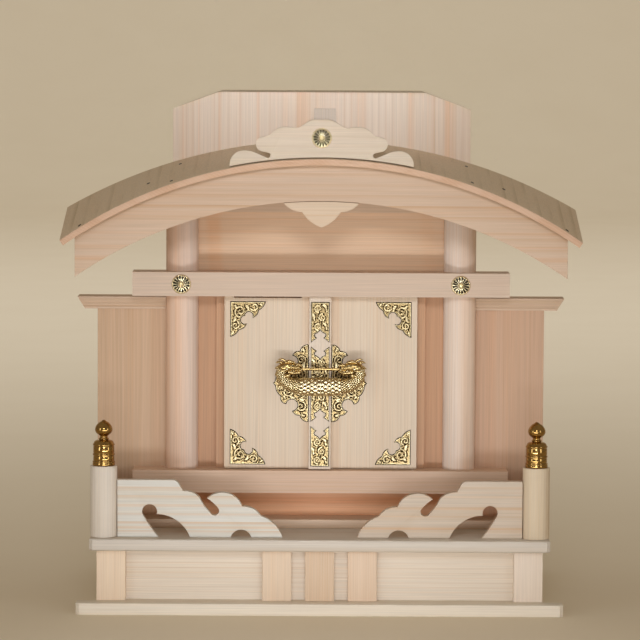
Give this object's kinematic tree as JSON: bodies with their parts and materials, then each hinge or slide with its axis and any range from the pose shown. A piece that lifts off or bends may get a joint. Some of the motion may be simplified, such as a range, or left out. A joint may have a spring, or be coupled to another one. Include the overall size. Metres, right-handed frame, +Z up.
{
  "type": "household altar cabinet",
  "caption": "Small house-shaped altar of pale cypress: arched porch roof, round columns, paired pivot-hung doors with brass plates and padlock, cloud-cut railings, panelled plinth, tall hollow box behind",
  "frame": {"origin": "middle of the underside of the base board", "axes": "+X to the right as seen from the front, -Y out of the front, +Z up"},
  "size_m": [0.523, 0.32, 0.521],
  "materials": {
    "pale_wood": "planed pale cypress, unvarnished, straight grain",
    "rosy_wood": "planed cypress heartwood, unvarnished, pinkish",
    "amber_wood": "planed cypress heartwood, unvarnished, warmer",
    "brass": "stamped gilt brass with darkened recesses"
  },
  "bodies": {
    "cabinet": {"base_board": "pale_wood", "plinth_stile_1": "pale_wood", "plinth_stile_2": "pale_wood", "plinth_stile_3": "pale_wood", "plinth_stile_4": "pale_wood", "plinth_stile_5": "pale_wood", "plinth_front_panel": "pale_wood", "plinth_side_panel_left": "pale_wood", "plinth_side_panel_right": "pale_wood", "plinth_back_panel": "pale_wood", "deck_board": "pale_wood", "post_left": "pale_wood", "post_right": "pale_wood", "finial_left": "brass", "finial_right": "brass", "cloud_rail_left": "pale_wood", "cloud_rail_right": "pale_wood", "side_rail_left": "pale_wood", "side_rail_right": "pale_wood", "ground_sill": "rosy_wood", "sill_plank": "rosy_wood", "beam": "rosy_wood", "column_left": "rosy_wood", "column_right": "rosy_wood", "top_rail": "amber_wood", "kick_panel": "amber_wood", "door_surround": "rosy_wood", "frieze_panel": "amber_wood", "tower_front": "pale_wood", "tower_cap": "pale_wood", "box_side_left": "pale_wood", "box_side_right": "pale_wood", "box_back": "pale_wood", "box_floor": "pale_wood", "side_screen_left": "amber_wood", "side_screen_right": "amber_wood", "coping_left": "rosy_wood", "coping_right": "rosy_wood", "porch_roof": "rosy_wood", "barge_board": "pale_wood", "pendant": "pale_wood", "crest_board": "pale_wood", "crest_brace": "pale_wood", "crest_boss": "brass", "beam_boss_left": "brass", "beam_boss_right": "brass"},
    "left_door": {"door_left": "pale_wood", "door_strip": "pale_wood", "strip_plate_upper": "brass", "strip_plate_middle": "brass", "strip_plate_lower": "brass", "side_plate_left": "brass", "corner_plate_left_lower": "brass", "corner_plate_left_upper": "brass", "padlock": "brass"},
    "right_door": {"door_right": "pale_wood", "side_plate_right": "brass", "corner_plate_right_lower": "brass", "corner_plate_right_upper": "brass"}
  },
  "joints": [
    {"name": "left_leaf", "type": "hinge", "parent": "cabinet", "child": "left_door", "pos_m": [-0.09485, -0.0395, 0.134], "axis": [0, 0, -1], "range_deg": [0, 100]},
    {"name": "right_leaf", "type": "hinge", "parent": "cabinet", "child": "right_door", "pos_m": [0.09485, -0.0395, 0.134], "axis": [0, 0, 1], "range_deg": [0, 100]}
  ],
  "couplings": [
    {"joint": "right_leaf", "follows": "left_leaf", "ratio": 1}
  ]
}
